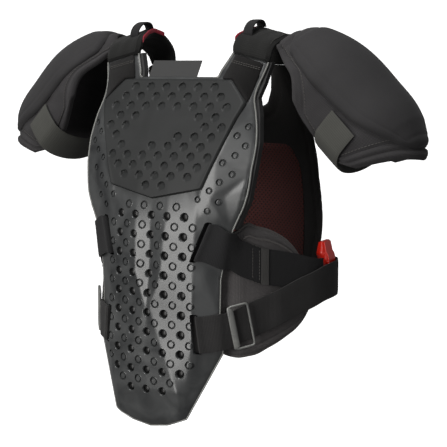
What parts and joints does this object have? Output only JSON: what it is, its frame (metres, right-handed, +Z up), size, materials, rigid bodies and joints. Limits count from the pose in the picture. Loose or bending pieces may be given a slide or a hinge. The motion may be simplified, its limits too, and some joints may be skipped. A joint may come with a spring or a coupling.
{
  "type": "roost deflector",
  "caption": "Off-road chest, back and shoulder protector with a perforated chest plate, padded sleeves and elastic side straps.",
  "frame": {"origin": "between the shoulder yokes, where the protector rests on the wearer's shoulders", "axes": "+X to the wearer's left, -Y to the wearer's front, +Z up"},
  "size_m": [0.5794, 0.2479, 0.47],
  "materials": {
    "moulded_plastic": "satin, moulded",
    "insert_rubber": "matt, dimpled",
    "liner_foam": "matt foam",
    "woven_tag": "woven, bare",
    "shell_plastic": "matt, moulded",
    "black_padding": "brushed nylon over foam",
    "red_lining": "perforated mesh",
    "webbing": "woven elastic",
    "red_tape": "woven tape",
    "sleeve_fabric": "knitted, over foam",
    "cap_fabric": "smooth nylon over foam",
    "elastic": "woven elastic",
    "wing_fabric": "knitted, bound edge",
    "buckle_plastic": "satin, moulded",
    "clip_plastic": "semi-gloss, moulded"
  },
  "bodies": {
    "root": {"chest_plate": "moulded_plastic", "chest_insert": "insert_rubber", "chest_liner": "liner_foam", "label": "woven_tag", "back_shell": "shell_plastic", "back_liner": "black_padding", "back_mesh": "red_lining", "horn_strap_left": "webbing", "shoulder_bridge_left": "black_padding", "pull_loop_left": "webbing", "red_tab_left": "red_tape", "sleeve_left": "sleeve_fabric", "shoulder_cap_left": "cap_fabric", "arm_band_left": "elastic", "side_wing_left": "wing_fabric", "upper_strap_left": "webbing", "lower_strap_left": "webbing", "strap_slider_left": "buckle_plastic", "release_clip_left": "clip_plastic", "clip_anchor_left": "webbing", "horn_strap_right": "webbing", "shoulder_bridge_right": "black_padding", "pull_loop_right": "webbing", "red_tab_right": "red_tape", "sleeve_right": "sleeve_fabric", "shoulder_cap_right": "cap_fabric", "arm_band_right": "elastic", "side_wing_right": "wing_fabric", "upper_strap_right": "webbing", "lower_strap_right": "webbing", "strap_slider_right": "buckle_plastic", "release_clip_right": "clip_plastic", "clip_anchor_right": "webbing"}
  },
  "joints": []
}
